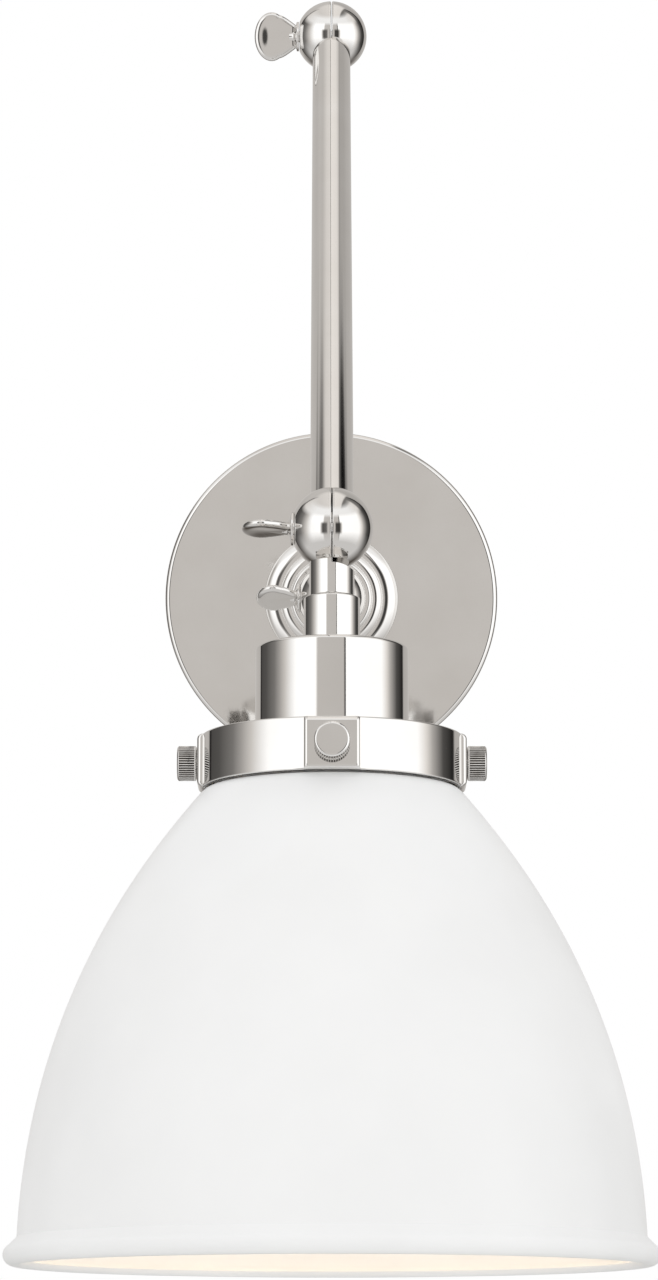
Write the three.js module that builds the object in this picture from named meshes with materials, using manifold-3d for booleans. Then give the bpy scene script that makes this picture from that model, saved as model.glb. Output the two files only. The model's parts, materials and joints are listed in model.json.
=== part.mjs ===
// Wall sconce with a double swing arm: round canopy, three ball knuckles held by wing screws,
// a swivelling socket cup and a dome shade held in its fitter by four thumb screws.
//
// Millimetres, +Z up. The origin is the centre of the wall face. The lamp reaches out along -Y.
import * as THREE from 'three';
import { mergeVertices } from 'three/addons/utils/BufferGeometryUtils.js';
import Module from 'manifold-3d';

const wasm = await Module();
wasm.setup();

// ---------------------------------------------------------------- driving dimensions

const FIT = 0.3; // clearance between pieces that rest on or pass through each other

const STRAP_WIDTH = 20;
const STRAP_THICKNESS = 2;
const STRAP_SLOT_CENTRE = 42;
const STRAP_SLOT_LENGTH = 20;
const STRAP_SLOT_WIDTH = 4.6;
const STRAP_EAR_HEIGHT = 13;
const SET_SCREW_HEIGHT = 8; // above the wall
const SET_SCREW_RADIUS = 2;
const SET_SCREW_LENGTH = 5;
const GROUND_SCREW_OFFSET = 16;
const GROUND_SCREW_RADIUS = 2;
const GROUND_HEAD_RADIUS = 4;
const GROUND_HEAD_HEIGHT = 2.6;

const CANOPY_RADIUS = 69.85;
const CANOPY_DEPTH = 20;
const CANOPY_WALL = 1.5;
const CANOPY_EDGE = 2.1;

const SPINDLE_RADIUS = 8;
const SPINDLE_BORE = 5;
const SPINDLE_TAIL = 8; // its end's height above the wall
const SPINDLE_NUT_SIZE = 24; // across the flats
const SPINDLE_NUT_THICKNESS = 5;
const SPINDLE_WASHER_RADIUS = 15;
const SPINDLE_WASHER_THICKNESS = 0.8;

const HUB_FLANGE_RADIUS = 28;
const HUB_FLANGE_HEIGHT = 4.5;
const HUB_FLANGE_EDGE = 4.2;
const HUB_STEP_RADIUS = 21.5;
const HUB_STEP_HEIGHT = 4.5;
const HUB_STEP_EDGE = 3;
const HUB_BOSS_RADIUS = 17;
const HUB_BOSS_HEIGHT = 3;
const HUB_BOSS_EDGE = 1.5;
const HUB_BALL_HEIGHT = 50; // ball centre above the wall

const WIRE_NUT_RADIUS = 6;
const WIRE_NUT_LENGTH = 19;
const WIRE_NUT_OFFSET = 34; // from the centre line, along the strap's side
const WIRE_NUT_SIDE = 24;
const WIRE_NUT_HEIGHT = 10;
const WIRE_RADIUS = 1.1;

const BALL_RADIUS = 14.15;
const BALL_WALL = 2.9;
const BALL_SPLIT = 0.3; // gap between the two halves
const BALL_BOSS_RADIUS = 5.6;
const KNUCKLE_CLEARANCE = 1.15; // between a ball and the arm that passes over it
const SPUD_LENGTH = 32; // from the ball's centre
const SPUD_WALL = 2.6;
const STEM_RADIUS = 7.7; // the solid stems of the hub and the neck

const TUBE_RADIUS = 7.5;
const TUBE_WALL = 1.2;
const REAR_ARM = 229.5; // ball centre to ball centre
const FRONT_ARM = 327;
const LEAD_RADIUS = 2;

const WING_BORE = 2.6;
const WING_SHANK_RADIUS = 2.2;
const WING_SHANK_REACH = 7.2; // past the split plane
const WING_FLANGE_RADIUS = 5.9;
const WING_FLANGE_THICKNESS = 1.5;
const WING_SPOT_DEPTH = 1.3; // of the flat that the flange seats on
const WING_NECK_LENGTH = 2.65;
const WING_NECK_WIDTH = 8.6;
const WING_SHOULDER = 4; // from the flanks' ends to the paddle's centre
const WING_SHOULDER_WIDTH = 17.8;
const WING_PADDLE_LENGTH = 13.7;
const WING_PADDLE_WIDTH = 19.5;
const WING_PADDLE_THICKNESS = 2.8;
const INSERT_RADIUS = 3.9;
const INSERT_LENGTH = 6;
const DISC_RADIUS = 5.2;
const DISC_THICKNESS = 0.9;

const NECK_LENGTH = 23.9; // ball centre to the neck's shoulder
const PIN_RADIUS = 5;
const PIN_BORE = 2.6;
const PIN_NUT_SIZE = 15;
const PIN_NUT_THICKNESS = 4;
const SLEEVE_RADIUS = 9.6;
const SLEEVE_LENGTH = 17;
const CUP_RADIUS = 26;
const CUP_HEIGHT = 30.6;
const CUP_WALL = 1.5;
const CUP_EDGE = 1;

const SOCKET_RADIUS = 19;
const SOCKET_WALL = 4.4;
const SOCKET_FLOOR = 6;
const SOCKET_REACH = 15; // past the top of the fitter
const SOCKET_RING_RADIUS = 26;
const SOCKET_RING_HEIGHT = 5;
const SHELL_WALL = 0.7;
const CONTACT_RADIUS = 4;

const FITTER_RADIUS = 44.4;
const FITTER_WALL = 2.2;
const FITTER_HEIGHT = 17.7;
const FITTER_TOP = 2;
const PAD_WIDTH = 18.5;
const PAD_PROUD = 0.9; // of the fitter's wall
const THUMB_COUNT = 4;
const THUMB_SHANK_RADIUS = 2;
const THUMB_KNOB_RADIUS = 5.9;
const THUMB_KNOB_LENGTH = 6.6;

const SHADE_WALL = 1.2;
const SHADE_NECK_PLAY = 2.6; // between the neck and the fitter's wall
const SHADE_NECK_HEIGHT = 12.4;
const SHADE_LIP = 1.8;
const SHADE_RADIUS = 104; // outside, above the bead
const SHADE_HEIGHT = 159.2; // fitter's lower edge to the end of the bead
const SHADE_FLARE = 0.84; // growth in radius per unit of height, just below the shoulder
const SHADE_TAPER = 0.04; // the same, just above the bead
const SHADE_TOP_PULL = 0.135; // how far each slope carries into the curve
const SHADE_RIM_PULL = 0.54;
const BEAD_RADIUS = 3.6;

const BULB_BASE_RADIUS = 13.2;
const BULB_BASE_LENGTH = 26;
const BULB_RADIUS = 30;
const BULB_LENGTH = 110; // base tip to crown

// The position the lamp is shown in: angles from straight up, leaning out from the wall.
const REAR_LEAN = 10;
const FRONT_LEAN = 128.9;
const HEAD_LEAN = 169.2;
const HUB_WING_TURN = 152; // the paddles' turn about their hinges
const MID_WING_TURN = 96;
const HEAD_WING_TURN = 168;

const FINE = 40; // sides of a round piece
const ROUND = 32;
const MEDIUM = 24;
const COARSE = 12;

// ---------------------------------------------------------------- sizes that follow

const SPLIT = BALL_SPLIT / 2;
const BALL_CAVITY = BALL_RADIUS - BALL_WALL;
const ARM_ANGLE = THREE.MathUtils.degToRad(180 - FRONT_LEAN + REAR_LEAN);
const ARM_CROSSING = (TUBE_RADIUS + FIT / 2) / Math.sin(ARM_ANGLE / 2); // where the tubes' flanks meet
const SWEEP_RADIUS = Math.max(BALL_RADIUS + KNUCKLE_CLEARANCE, ARM_CROSSING);
const TUBE_BORE = TUBE_RADIUS - TUBE_WALL;
const SPUD_RADIUS = TUBE_BORE - FIT;
const SPUD_BORE = SPUD_RADIUS - SPUD_WALL;
const FLANGE_START = CANOPY_DEPTH + FIT;
const WING_SEAT = BALL_RADIUS - WING_SPOT_DEPTH;
const DISC_SEAT = SPLIT + DISC_THICKNESS + FIT;
const INSERT_START = DISC_SEAT + FIT;
const INSERT_END = INSERT_START + INSERT_LENGTH;
const BOSS_TOP = FLANGE_START + HUB_FLANGE_HEIGHT + HUB_STEP_HEIGHT + HUB_BOSS_HEIGHT;
const SLEEVE_START = NECK_LENGTH + FIT;
const CUP_START = SLEEVE_START + SLEEVE_LENGTH + FIT;
const FITTER_START = CUP_START + CUP_HEIGHT + FIT;
const FITTER_END = FITTER_START + FITTER_HEIGHT;
const PAD_FACE = FITTER_RADIUS + PAD_PROUD;
const SHADE_NECK_RADIUS = FITTER_RADIUS - FITTER_WALL - SHADE_NECK_PLAY; // outside
const PIN_END = CUP_START + CUP_WALL + FIT + PIN_NUT_THICKNESS + 1;
const SOCKET_START = PIN_END + 1;
const SOCKET_END = FITTER_START + SOCKET_REACH;
const SHELL_RADIUS = SOCKET_RADIUS - SOCKET_WALL - FIT;
const SHADE_START = FITTER_END - SHADE_NECK_HEIGHT;
const SHADE_END = FITTER_END + SHADE_HEIGHT;
const BULB_TIP = SOCKET_START + SOCKET_FLOOR + 4;

// ---------------------------------------------------------------- materials

function metal(color, roughness) {
  return new THREE.MeshStandardMaterial({ color, roughness, metalness: 1 });
}

function plain(color, roughness) {
  return new THREE.MeshStandardMaterial({ color, roughness, metalness: 0 });
}

const nickel = () => metal(0xc9c6c0, 0.06);
const zinc = () => metal(0xb4b6b8, 0.35);
const brass = () => metal(0xc9a24e, 0.3);
const groundGreen = () => plain(0x2f7d46, 0.45);
const whitePaint = () => plain(0xf4f4f3, 0.55);
const porcelain = () => plain(0xefece4, 0.25);
const frostedGlass = () => plain(0xfff4e2, 0.4);
const fibre = () => plain(0x2b2a28, 0.85);
const insulationBlack = () => plain(0x1c1c1e, 0.6);
const insulationWhite = () => plain(0xe8e8e4, 0.6);
const nutOrange = () => plain(0xd9752b, 0.5);

// ---------------------------------------------------------------- shape helpers

const radians = THREE.MathUtils.degToRad;
const point = (x, y) => new THREE.Vector2(x, y);

function solid(geometry) {
  const bare = geometry.clone();
  bare.deleteAttribute('normal');
  bare.deleteAttribute('uv');
  const merged = mergeVertices(bare, 1e-4);
  const mesh = new wasm.Mesh({
    numProp: 3,
    vertProperties: new Float32Array(merged.attributes.position.array),
    triVerts: new Uint32Array(merged.index.array),
  });
  return new wasm.Manifold(mesh);
}

function surface(manifold) {
  const mesh = manifold.getMesh();
  const geometry = new THREE.BufferGeometry();
  geometry.setAttribute('position', new THREE.BufferAttribute(mesh.vertProperties, 3));
  geometry.setIndex(new THREE.BufferAttribute(mesh.triVerts, 1));
  geometry.computeVertexNormals();
  return geometry;
}

function cut(geometry, ...tools) {
  return surface(tools.reduce((body, tool) => body.subtract(solid(tool)), solid(geometry)));
}

function join(geometry, ...others) {
  return surface(others.reduce((body, other) => body.add(solid(other)), solid(geometry)));
}

function common(geometry, other) {
  return surface(solid(geometry).intersect(solid(other)));
}

// Turns a profile of (radius, z) points about the z axis. The outer side runs towards +z.
function turn(profile, segments) {
  return new THREE.LatheGeometry(profile, segments).rotateX(Math.PI / 2);
}

// The same, for a ring whose profile closes on itself.
function turnRing(profile, segments) {
  return turn([...profile, profile[0].clone()], segments);
}

function rod(radius, from, to, segments) {
  return turn([point(0, from), point(radius, from), point(radius, to), point(0, to)], segments);
}

// A rod whose radius changes by steps, each [radius, where it ends].
function steppedRod(start, steps, segments) {
  const profile = [point(0, start)];
  let from = start;
  for (const [radius, end] of steps) {
    profile.push(point(radius, from), point(radius, end));
    from = end;
  }
  profile.push(point(0, from));
  return turn(profile, segments);
}

function tube(outer, inner, from, to, segments) {
  return turnRing([point(inner, from), point(outer, from), point(outer, to), point(inner, to)], segments);
}

// Points of an arc, from one angle to another, in degrees from the radius direction.
function arc(radius, z, size, from, to, steps) {
  const points = [];
  for (let i = 0; i <= steps; i += 1) {
    const angle = radians(from + ((to - from) * i) / steps);
    points.push(point(radius + size * Math.cos(angle), z + size * Math.sin(angle)));
  }
  return points;
}

function box(width, depth, height, x, y, z) {
  return new THREE.BoxGeometry(width, depth, height).translate(x, y, z);
}

function hexNut(acrossFlats, bore, from, to) {
  const shape = new THREE.Shape();
  const corner = acrossFlats / Math.sqrt(3);
  for (let i = 0; i < 6; i += 1) {
    const angle = (i * Math.PI) / 3;
    shape[i ? 'lineTo' : 'moveTo'](corner * Math.cos(angle), corner * Math.sin(angle));
  }
  shape.closePath();
  const hole = new THREE.Path().absarc(0, 0, bore, 0, 2 * Math.PI, true);
  shape.holes.push(hole);
  const settings = { depth: to - from, bevelEnabled: false, curveSegments: 10 };
  return new THREE.ExtrudeGeometry(shape, settings).translate(0, 0, from);
}

function wire(points, radius) {
  const curve = new THREE.CatmullRomCurve3(points.map((p) => new THREE.Vector3(...p)));
  const section = new THREE.Shape().absarc(0, 0, radius, 0, 2 * Math.PI);
  const settings = { steps: 10, curveSegments: 4, bevelEnabled: false, extrudePath: curve };
  return new THREE.ExtrudeGeometry(section, settings);
}

function put(parent, name, geometry, material) {
  const mesh = new THREE.Mesh(geometry, material);
  mesh.name = name;
  parent.add(mesh);
  return mesh;
}

function frame(parent, y, z, lean) {
  const group = new THREE.Group();
  group.position.set(0, y, z);
  group.rotation.x = radians(lean);
  parent.add(group);
  return group;
}

// ---------------------------------------------------------------- wall pieces, z out of the wall

function strapShape() {
  const half = CANOPY_RADIUS - CANOPY_WALL - FIT;
  const bar = box(2 * half, STRAP_WIDTH, STRAP_THICKNESS, 0, 0, STRAP_THICKNESS / 2);
  const ears = [-1, 1].map((side) => {
    const x = side * (half - STRAP_THICKNESS / 2);
    return box(STRAP_THICKNESS, STRAP_WIDTH, STRAP_EAR_HEIGHT, x, 0, STRAP_EAR_HEIGHT / 2);
  });
  // the ends follow the canopy's round wall
  const round = rod(half, -1, STRAP_EAR_HEIGHT + 1, FINE);
  const body = common(join(bar, ...ears), round);
  const tools = [-1, 1].flatMap((side) => {
    const x = side * STRAP_SLOT_CENTRE;
    const slot = box(STRAP_SLOT_LENGTH, STRAP_SLOT_WIDTH, 3 * STRAP_THICKNESS, x, 0, 0);
    const tapped = rod(SET_SCREW_RADIUS + FIT, -10, 10, COARSE).rotateY(Math.PI / 2);
    return [slot, tapped.translate(side * half, 0, SET_SCREW_HEIGHT)];
  });
  const ground = rod(GROUND_SCREW_RADIUS + FIT, -1, 2 * STRAP_THICKNESS, COARSE);
  return cut(body, ...tools, ground.translate(GROUND_SCREW_OFFSET, 0, 0));
}

function canopyShape() {
  const flat = CANOPY_RADIUS - CANOPY_EDGE;
  const inner = CANOPY_RADIUS - CANOPY_WALL;
  const hole = SPINDLE_RADIUS + FIT;
  const profile = [
    point(hole, CANOPY_DEPTH - CANOPY_WALL),
    ...arc(flat, CANOPY_DEPTH - CANOPY_EDGE, CANOPY_EDGE - CANOPY_WALL, 90, 0, 2),
    point(inner, 0),
    point(CANOPY_RADIUS, 0),
    ...arc(flat, CANOPY_DEPTH - CANOPY_EDGE, CANOPY_EDGE, 0, 90, 3),
    point(hole, CANOPY_DEPTH),
  ];
  const holes = [-1, 1].map((side) => {
    const drill = rod(SET_SCREW_RADIUS + FIT, -4, 4, COARSE).rotateY(Math.PI / 2);
    return drill.translate(side * CANOPY_RADIUS, 0, SET_SCREW_HEIGHT);
  });
  return cut(turnRing(profile, FINE), ...holes);
}

function setScrewShape(side) {
  const end = CANOPY_RADIUS - FIT;
  const screw = rod(SET_SCREW_RADIUS, end - SET_SCREW_LENGTH, end, COARSE);
  const key = rod(SET_SCREW_RADIUS / 2, end - SET_SCREW_LENGTH / 3, end + 1, 6);
  return cut(screw, key).rotateY((side * Math.PI) / 2).translate(0, 0, SET_SCREW_HEIGHT);
}

function groundScrewShape() {
  const seat = STRAP_THICKNESS + FIT;
  const top = seat + GROUND_HEAD_HEIGHT;
  const profile = [
    point(0, FIT),
    point(GROUND_SCREW_RADIUS, FIT),
    point(GROUND_SCREW_RADIUS, seat),
    point(GROUND_HEAD_RADIUS, seat),
    point(GROUND_HEAD_RADIUS, top),
    point(0, top),
  ];
  const slot = box(3 * GROUND_HEAD_RADIUS, 1, 1.6, 0, 0, top);
  return cut(turn(profile, COARSE), slot).translate(GROUND_SCREW_OFFSET, 0, 0);
}

function wireNutShape(side) {
  const profile = [
    point(0, 0),
    point(WIRE_NUT_RADIUS, 0),
    point(WIRE_NUT_RADIUS, WIRE_NUT_LENGTH / 3),
    point(WIRE_NUT_RADIUS * 0.6, WIRE_NUT_LENGTH),
    point(0, WIRE_NUT_LENGTH),
  ];
  const socket = rod(WIRE_NUT_RADIUS * 0.7, -1, WIRE_NUT_LENGTH / 3, COARSE);
  const nut = cut(turn(profile, COARSE), socket).rotateY(Math.PI / 2);
  return nut.translate(WIRE_NUT_OFFSET, side * WIRE_NUT_SIDE, WIRE_NUT_HEIGHT);
}

function supplyLeadShape(side) {
  const offset = side * SPINDLE_BORE * 0.4;
  const nutMouth = WIRE_NUT_OFFSET + WIRE_NUT_LENGTH / 3 - FIT;
  return wire(
    [
      [0, offset, SPINDLE_TAIL + 6],
      [1, offset * 1.5, SPINDLE_TAIL - 1.5],
      [12, side * 16, 6],
      [WIRE_NUT_OFFSET - 10, side * WIRE_NUT_SIDE, WIRE_NUT_HEIGHT],
      [nutMouth, side * WIRE_NUT_SIDE, WIRE_NUT_HEIGHT],
    ],
    WIRE_RADIUS,
  );
}

function hubShape() {
  const flangeTop = FLANGE_START + HUB_FLANGE_HEIGHT;
  const stepTop = flangeTop + HUB_STEP_HEIGHT;
  const socket = SPUD_RADIUS + FIT;
  const profile = [
    point(SPINDLE_BORE, SPINDLE_TAIL),
    point(SPINDLE_RADIUS, SPINDLE_TAIL),
    point(SPINDLE_RADIUS, FLANGE_START),
    point(HUB_FLANGE_RADIUS, FLANGE_START),
    ...arc(HUB_FLANGE_RADIUS - HUB_FLANGE_EDGE, flangeTop - HUB_FLANGE_EDGE, HUB_FLANGE_EDGE, 0, 90, 4),
    point(HUB_STEP_RADIUS, flangeTop),
    ...arc(HUB_STEP_RADIUS - HUB_STEP_EDGE, stepTop - HUB_STEP_EDGE, HUB_STEP_EDGE, 0, 90, 3),
    point(HUB_BOSS_RADIUS, stepTop),
    ...arc(HUB_BOSS_RADIUS - HUB_BOSS_EDGE, BOSS_TOP - HUB_BOSS_EDGE, HUB_BOSS_EDGE, 0, 90, 2),
    point(socket, BOSS_TOP),
    point(socket, FLANGE_START),
    point(SPINDLE_BORE, FLANGE_START),
  ];
  return turnRing(profile, ROUND);
}

function spindleNutShape() {
  const top = CANOPY_DEPTH - CANOPY_WALL - 2 * FIT - SPINDLE_WASHER_THICKNESS;
  return hexNut(SPINDLE_NUT_SIZE, SPINDLE_RADIUS + FIT, top - SPINDLE_NUT_THICKNESS, top);
}

function spindleWasherShape() {
  const top = CANOPY_DEPTH - CANOPY_WALL - FIT;
  const from = top - SPINDLE_WASHER_THICKNESS;
  return tube(SPINDLE_WASHER_RADIUS, SPINDLE_RADIUS + FIT, from, top, MEDIUM);
}

// ---------------------------------------------------------------- ball knuckles
//
// The ball's centre is the origin and the hinge axis is x. A half lies on one side of the plane
// x = 0 and its stem leaves along +z. On the far side the stem starts beyond the ball's sweep,
// so that the other half's arm can pass.

function toSide(geometry, side) {
  return geometry.rotateY((side * Math.PI) / 2);
}

// What a piece on one side gives up to the half across the split.
function sweptBall(side) {
  return toSide(rod(SWEEP_RADIUS, -SPLIT, 2 * BALL_RADIUS, MEDIUM), -side);
}

function halfBall(side) {
  const rim = THREE.MathUtils.radToDeg(Math.asin(SPLIT / BALL_RADIUS));
  const profile = [point(0, SPLIT), ...arc(0, 0, BALL_RADIUS, rim, 90, 6)];
  return toSide(turn(profile, MEDIUM), side);
}

// The room for the wires, around the boss that the wing screw passes through.
function wireRoom(side) {
  const pole = THREE.MathUtils.radToDeg(Math.acos(BALL_BOSS_RADIUS / BALL_CAVITY));
  const profile = [
    point(BALL_BOSS_RADIUS, -1),
    point(BALL_CAVITY, -1),
    ...arc(0, 0, BALL_CAVITY, 0, pole, 3),
  ];
  return toSide(turnRing(profile, MEDIUM), side);
}

function knuckleHalf(side, stem, bore, threaded) {
  const end = stem[stem.length - 1][1];
  const stub = cut(steppedRod(0, stem, MEDIUM), sweptBall(side));
  const wires = rod(bore, BALL_BOSS_RADIUS + 1, end + 1, COARSE);
  const body = cut(join(halfBall(side), stub), wireRoom(side), wires);
  if (threaded) {
    const seat = toSide(rod(BALL_BOSS_RADIUS + FIT, -1, DISC_SEAT, MEDIUM), side);
    const pocket = toSide(rod(INSERT_RADIUS + FIT, -1, INSERT_END + FIT, COARSE), side);
    return cut(body, seat, pocket);
  }
  const bolt = toSide(rod(WING_BORE, -1, BALL_RADIUS + 1, COARSE), side);
  const spot = toSide(rod(WING_FLANGE_RADIUS + FIT, WING_SEAT, BALL_RADIUS + 1, COARSE), side);
  return cut(body, bolt, spot);
}

function armTube(length, side) {
  const pipe = tube(TUBE_RADIUS, TUBE_BORE, 0, length, MEDIUM);
  const tools = [0, length].flatMap((z) => {
    const ball = new THREE.SphereGeometry(BALL_RADIUS + FIT, MEDIUM, COARSE).rotateZ(Math.PI / 2);
    return [ball.translate(0, 0, z), sweptBall(side).translate(0, 0, z)];
  });
  return cut(pipe, ...tools);
}

function armLead(length) {
  return rod(LEAD_RADIUS, BALL_RADIUS + FIT, length - BALL_RADIUS - FIT, COARSE);
}

function frictionDisc(side) {
  return toSide(tube(DISC_RADIUS, WING_BORE, SPLIT, SPLIT + DISC_THICKNESS, COARSE), side);
}

function threadedInsert(side) {
  return toSide(tube(INSERT_RADIUS, WING_BORE, INSERT_START, INSERT_END, COARSE), side);
}

// A flat oval paddle on a round flange and shank, along the hinge axis.
function wingScrew(side) {
  const flangeStart = WING_SEAT + FIT;
  const flangeEnd = flangeStart + WING_FLANGE_THICKNESS;
  const neckEnd = flangeEnd + WING_NECK_LENGTH;
  const steps = [
    [WING_SHANK_RADIUS, flangeStart],
    [WING_FLANGE_RADIUS, flangeEnd],
  ];
  const shank = steppedRod(-WING_SHANK_REACH, steps, 20);
  const centre = neckEnd + WING_PADDLE_LENGTH / 2;
  const shoulder = centre - WING_SHOULDER;
  const halfNeck = WING_NECK_WIDTH / 2;
  const halfShoulder = WING_SHOULDER_WIDTH / 2;
  const oval = new THREE.Shape();
  oval.absellipse(centre, 0, WING_PADDLE_LENGTH / 2, WING_PADDLE_WIDTH / 2, 0, 2 * Math.PI);
  const neck = new THREE.Shape([
    point(flangeEnd - WING_FLANGE_THICKNESS / 2, -halfNeck),
    point(shoulder, -halfShoulder),
    point(centre, -halfShoulder),
    point(centre, halfShoulder),
    point(shoulder, halfShoulder),
    point(flangeEnd - WING_FLANGE_THICKNESS / 2, halfNeck),
  ]);
  const settings = { depth: WING_PADDLE_THICKNESS, bevelEnabled: false, curveSegments: 12 };
  const flats = [oval, neck].map((outline) => {
    const flat = new THREE.ExtrudeGeometry(outline, settings);
    return flat.translate(0, 0, -WING_PADDLE_THICKNESS / 2).rotateY(-Math.PI / 2).rotateZ(Math.PI);
  });
  return toSide(join(shank, ...flats), side);
}

// ---------------------------------------------------------------- head, z down the lamp's axis

function neckShape(side) {
  const stem = [
    [STEM_RADIUS, NECK_LENGTH],
    [PIN_RADIUS, PIN_END],
  ];
  return knuckleHalf(side, stem, PIN_BORE, false);
}

function pinNutShape() {
  const from = CUP_START + CUP_WALL + FIT;
  return hexNut(PIN_NUT_SIZE, PIN_RADIUS + FIT, from, from + PIN_NUT_THICKNESS);
}

function sleeveShape() {
  return tube(SLEEVE_RADIUS, PIN_RADIUS + FIT, SLEEVE_START, SLEEVE_START + SLEEVE_LENGTH, MEDIUM);
}

function cupShape() {
  const end = CUP_START + CUP_HEIGHT;
  const inner = CUP_RADIUS - CUP_WALL;
  const hole = PIN_RADIUS + FIT;
  const profile = [
    point(hole, CUP_START),
    ...arc(CUP_RADIUS - CUP_EDGE, CUP_START + CUP_EDGE, CUP_EDGE, -90, 0, 3),
    point(CUP_RADIUS, end),
    point(inner, end),
    point(inner, CUP_START + CUP_WALL),
    point(hole, CUP_START + CUP_WALL),
  ];
  return turnRing(profile, ROUND);
}

function socketShape() {
  const profile = [
    point(0, SOCKET_START),
    point(SOCKET_RADIUS, SOCKET_START),
    point(SOCKET_RADIUS, SOCKET_END),
    point(SOCKET_RADIUS - SOCKET_WALL, SOCKET_END),
    point(SOCKET_RADIUS - SOCKET_WALL, SOCKET_START + SOCKET_FLOOR),
    point(0, SOCKET_START + SOCKET_FLOOR),
  ];
  return turn(profile, MEDIUM);
}

function socketRingShape() {
  const from = FITTER_START + FITTER_TOP + FIT;
  return tube(SOCKET_RING_RADIUS, SOCKET_RADIUS + FIT, from, from + SOCKET_RING_HEIGHT, MEDIUM);
}

function screwShellShape() {
  const from = SOCKET_START + SOCKET_FLOOR + 1;
  return tube(SHELL_RADIUS, SHELL_RADIUS - SHELL_WALL, from, SOCKET_END - 2, MEDIUM);
}

function contactShape() {
  const from = SOCKET_START + SOCKET_FLOOR + FIT;
  const steps = [
    [CONTACT_RADIUS, from + 1.2],
    [CONTACT_RADIUS / 2, from + 2.4],
  ];
  return steppedRod(from, steps, COARSE);
}

function fitterShape() {
  const inner = FITTER_RADIUS - FITTER_WALL;
  const hole = SOCKET_RADIUS + FIT;
  const profile = [
    point(hole, FITTER_START),
    point(FITTER_RADIUS, FITTER_START),
    point(FITTER_RADIUS, FITTER_END),
    point(inner, FITTER_END),
    point(inner, FITTER_START + FITTER_TOP),
    point(hole, FITTER_START + FITTER_TOP),
  ];
  const middle = (FITTER_START + FITTER_END) / 2;
  const padDepth = PAD_FACE - FITTER_RADIUS + FITTER_WALL * 0.6;
  const pads = [];
  const holes = [];
  for (let i = 0; i < THUMB_COUNT; i += 1) {
    const pad = box(padDepth, PAD_WIDTH, FITTER_HEIGHT, PAD_FACE - padDepth / 2, 0, middle);
    const drill = rod(THUMB_SHANK_RADIUS + FIT, inner - 4, PAD_FACE + 4, COARSE).rotateY(Math.PI / 2);
    pads.push(pad.rotateZ(thumbAngle(i)));
    holes.push(drill.translate(0, 0, middle).rotateZ(thumbAngle(i)));
  }
  return cut(join(turnRing(profile, FINE), ...pads), ...holes);
}

function thumbAngle(index) {
  return (2 * Math.PI * index) / THUMB_COUNT;
}

function thumbScrewShape(index) {
  const seat = PAD_FACE + FIT;
  const end = seat + THUMB_KNOB_LENGTH;
  const steps = [
    [THUMB_SHANK_RADIUS, seat],
    [THUMB_KNOB_RADIUS, end],
  ];
  const screw = steppedRod(SHADE_NECK_RADIUS + FIT, steps, 20).rotateY(Math.PI / 2);
  return screw.translate(0, 0, (FITTER_START + FITTER_END) / 2).rotateZ(thumbAngle(index));
}

// The shade's outside, from the neck's lip down to the bead.
function shadeOutside() {
  const lip = SHADE_NECK_RADIUS + SHADE_LIP;
  const shoulderZ = FITTER_END + FIT;
  const shoulder = FITTER_RADIUS - FIT;
  const start = point(shoulder + 0.5, shoulderZ + 1.9);
  const end = point(SHADE_RADIUS, SHADE_END - 2.6 * BEAD_RADIUS);
  const height = end.y - start.y;
  const topPull = SHADE_TOP_PULL * height;
  const rimPull = SHADE_RIM_PULL * height;
  const curve = new THREE.CubicBezierCurve(
    start,
    point(start.x + SHADE_FLARE * topPull, start.y + topPull),
    point(end.x - SHADE_TAPER * rimPull, end.y - rimPull),
    end,
  );
  return [
    point(lip, SHADE_START),
    point(lip, SHADE_START + SHADE_WALL),
    point(SHADE_NECK_RADIUS, SHADE_START + SHADE_WALL),
    point(SHADE_NECK_RADIUS, shoulderZ - 1.6),
    point(SHADE_NECK_RADIUS + 0.7, shoulderZ - 0.4),
    point(SHADE_NECK_RADIUS + 2, shoulderZ + 0.1),
    point(shoulder - 1, shoulderZ + 0.6),
    ...curve.getPoints(8),
  ];
}

// The inside follows the outside at the wall's thickness.
function shadeShape() {
  const outside = shadeOutside();
  const inside = [];
  for (let i = outside.length - 1; i > 3; i -= 1) {
    const before = outside[i - 1];
    const after = outside[Math.min(i + 1, outside.length - 1)];
    const along = after.clone().sub(before).normalize();
    inside.push(point(outside[i].x - along.y * SHADE_WALL, outside[i].y + along.x * SHADE_WALL));
  }
  const beadCentre = SHADE_RADIUS + 0.9;
  const beadZ = SHADE_END - BEAD_RADIUS;
  const profile = [
    ...outside,
    ...arc(beadCentre, beadZ, BEAD_RADIUS, -60, 150, 7),
    point(SHADE_RADIUS - SHADE_WALL, beadZ),
    ...inside,
    point(SHADE_NECK_RADIUS - SHADE_WALL, SHADE_START),
  ];
  return turnRing(profile, FINE);
}

function bulbBaseShape() {
  const end = BULB_TIP + BULB_BASE_LENGTH;
  const profile = [
    point(0, BULB_TIP),
    point(BULB_BASE_RADIUS * 0.35, BULB_TIP),
    point(BULB_BASE_RADIUS, BULB_TIP + 4),
    point(BULB_BASE_RADIUS, end),
    point(0, end),
  ];
  return turn(profile, 24);
}

function bulbOutline(shrink) {
  const centre = BULB_TIP + BULB_LENGTH - BULB_RADIUS;
  const neckStart = BULB_TIP + BULB_BASE_LENGTH + FIT;
  const neck = BULB_BASE_RADIUS - shrink;
  return [
    point(neck, neckStart),
    point(neck + 1.5, neckStart + 8),
    ...arc(0, centre, BULB_RADIUS - shrink, -35, 90, 6),
  ];
}

function bulbShape() {
  const inside = bulbOutline(1).reverse();
  return turn([...inside, ...bulbOutline(0)], 20);
}

// ---------------------------------------------------------------- assembly

const LEFT = -1;
const RIGHT = 1;
const lamp = new THREE.Group();

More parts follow.
